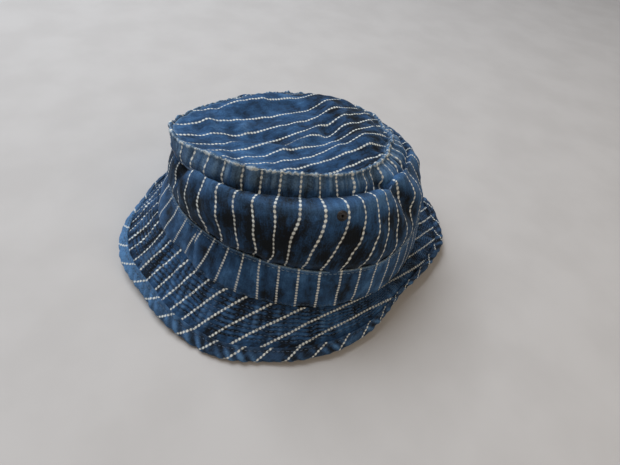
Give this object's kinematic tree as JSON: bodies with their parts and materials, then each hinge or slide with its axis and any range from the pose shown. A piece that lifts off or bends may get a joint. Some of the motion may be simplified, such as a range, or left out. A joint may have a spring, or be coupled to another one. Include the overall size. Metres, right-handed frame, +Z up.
{
  "type": "bucket hat",
  "caption": "Soft denim bucket hat with dotted pinstripes: oval crown over a hatband, a stitched sloping brim with a bound edge, side vent eyelets, sweatband and taped seams.",
  "frame": {"origin": "centre of the footprint on the surface that the rim rests on", "axes": "+Z up through the crown, -Y towards the wearer's front, +X towards the wearer's left; Y is the long axis of the head opening"},
  "size_m": [0.249, 0.272, 0.108],
  "materials": {
    "denim": "washed indigo twill with dotted off-white pinstripes",
    "binding_denim": "washed indigo twill, paler from wear",
    "interlining": "plain woven cotton",
    "sweatband_twill": "cotton twill",
    "seam_tape": "woven cotton tape",
    "eyelet_thread": "buttonhole-stitched thread",
    "label_cloth": "woven label, blank",
    "thread": "sewing thread"
  },
  "bodies": {
    "hat": {"crown_tip": "denim", "crown_side_left": "denim", "crown_side_right": "denim", "hatband": "denim", "brim_top": "denim", "brim_under": "denim", "brim_binding": "binding_denim", "brim_interlining": "interlining", "sweatband": "sweatband_twill", "crown_seam_tape": "seam_tape", "front_seam_tape": "seam_tape", "back_seam_tape": "seam_tape", "vent_eyelet_left": "eyelet_thread", "vent_eyelet_right": "eyelet_thread", "label_header": "label_cloth", "brim_stitch_rows_top": "thread", "brim_stitch_rows_under": "thread", "binding_stitch": "thread", "hatband_stitch_top": "thread", "hatband_stitch_bottom": "thread", "sweatband_stitch": "thread", "crown_tape_stitch": "thread", "label_stitch": "thread"},
    "label_flap": {"size_label": "label_cloth"}
  },
  "joints": [
    {"name": "label_swing", "type": "hinge", "parent": "hat", "child": "label_flap", "pos_m": [0, 0.0947, 0.0506], "axis": [-1, 0, 0], "range_deg": [-12, 140]}
  ]
}
